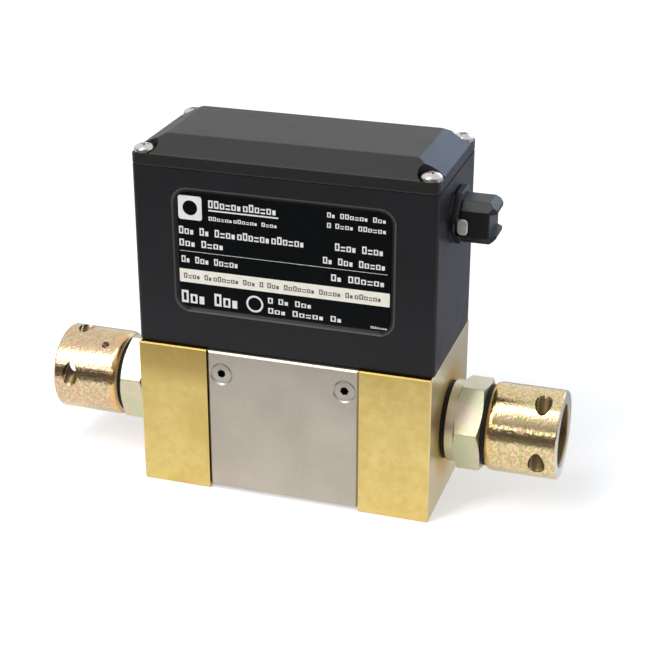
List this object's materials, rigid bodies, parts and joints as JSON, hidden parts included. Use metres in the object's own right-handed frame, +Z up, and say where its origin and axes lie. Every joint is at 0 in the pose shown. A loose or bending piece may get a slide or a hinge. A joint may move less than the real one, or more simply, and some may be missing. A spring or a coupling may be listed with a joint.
{
  "type": "electromagnetic flow meter",
  "caption": "Small in-line electromagnetic flow meter: square brass body with cover plates, black electronics housing on top, a plug connector and a clip-fastened hose socket at each end.",
  "frame": {"origin": "middle of the brass body's underside, below the flow axis", "axes": "+X along the pipe to the end with the plug connector, -Y the face with the type plate, +Z up"},
  "size_m": [0.172, 0.05, 0.1177],
  "materials": {
    "brass": "brushed, slightly tarnished",
    "brass_plug": "turned",
    "liner": "smooth",
    "electrode": "polished",
    "insulator": "moulded",
    "bright_steel": "bright",
    "rubber": "smooth",
    "gasket": "matt",
    "zinc_nipple": "zinc plated, pale yellow passivated",
    "zinc_socket": "zinc plated, iridescent yellow passivated",
    "housing_black": "satin black coat",
    "lid_black": "satin black coat",
    "label_black": "satin film",
    "connector_black": "moulded",
    "contact_gold": "plated",
    "cover_steel": "finely ground",
    "magnet_iron": "ground",
    "copper": "enamelled wire",
    "board_green": "solder mask",
    "driver_black": "moulded",
    "tinned_steel": "tinned",
    "capacitor_sleeve": "sleeved",
    "terminal_green": "moulded"
  },
  "bodies": {
    "root": {"base_gasket": "gasket", "board_screws": "bright_steel", "board_standoffs": "brass_plug", "bottom_plug": "brass_plug", "capacitors": "capacitor_sleeve", "coil_driver": "driver_black", "connector_block": "connector_black", "connector_clips": "bright_steel", "connector_flange": "connector_black", "connector_seal": "gasket", "contact_insert": "insulator", "contact_pins": "contact_gold", "electrode_nuts": "bright_steel", "electrode_sleeves": "insulator", "electrodes": "electrode", "front_coil_bobbin": "insulator", "front_coil_winding": "copper", "front_cover_gasket": "gasket", "front_cover_plate": "cover_steel", "front_cover_screws": "bright_steel", "front_pole_core": "magnet_iron", "front_yoke_plate": "magnet_iron", "housing_box": "housing_black", "housing_lid": "lid_black", "housing_screws": "bright_steel", "label_plate": "label_black", "left_body_seal": "rubber", "left_hose_socket": "zinc_socket", "left_nipple": "zinc_nipple", "left_socket_ring": "rubber", "lid_gasket": "gasket", "lid_screws": "bright_steel", "liner_tube": "liner", "lock_nut": "bright_steel", "main_board": "board_green", "meter_body": "brass", "rear_coil_bobbin": "insulator", "rear_coil_winding": "copper", "rear_cover_gasket": "gasket", "rear_cover_plate": "cover_steel", "rear_cover_screws": "bright_steel", "rear_pole_core": "magnet_iron", "rear_yoke_plate": "magnet_iron", "right_body_seal": "rubber", "right_hose_socket": "zinc_socket", "right_nipple": "zinc_nipple", "right_socket_ring": "rubber", "shield_can": "tinned_steel", "terminal_block": "terminal_green", "wire_bush": "rubber"}
  },
  "joints": []
}
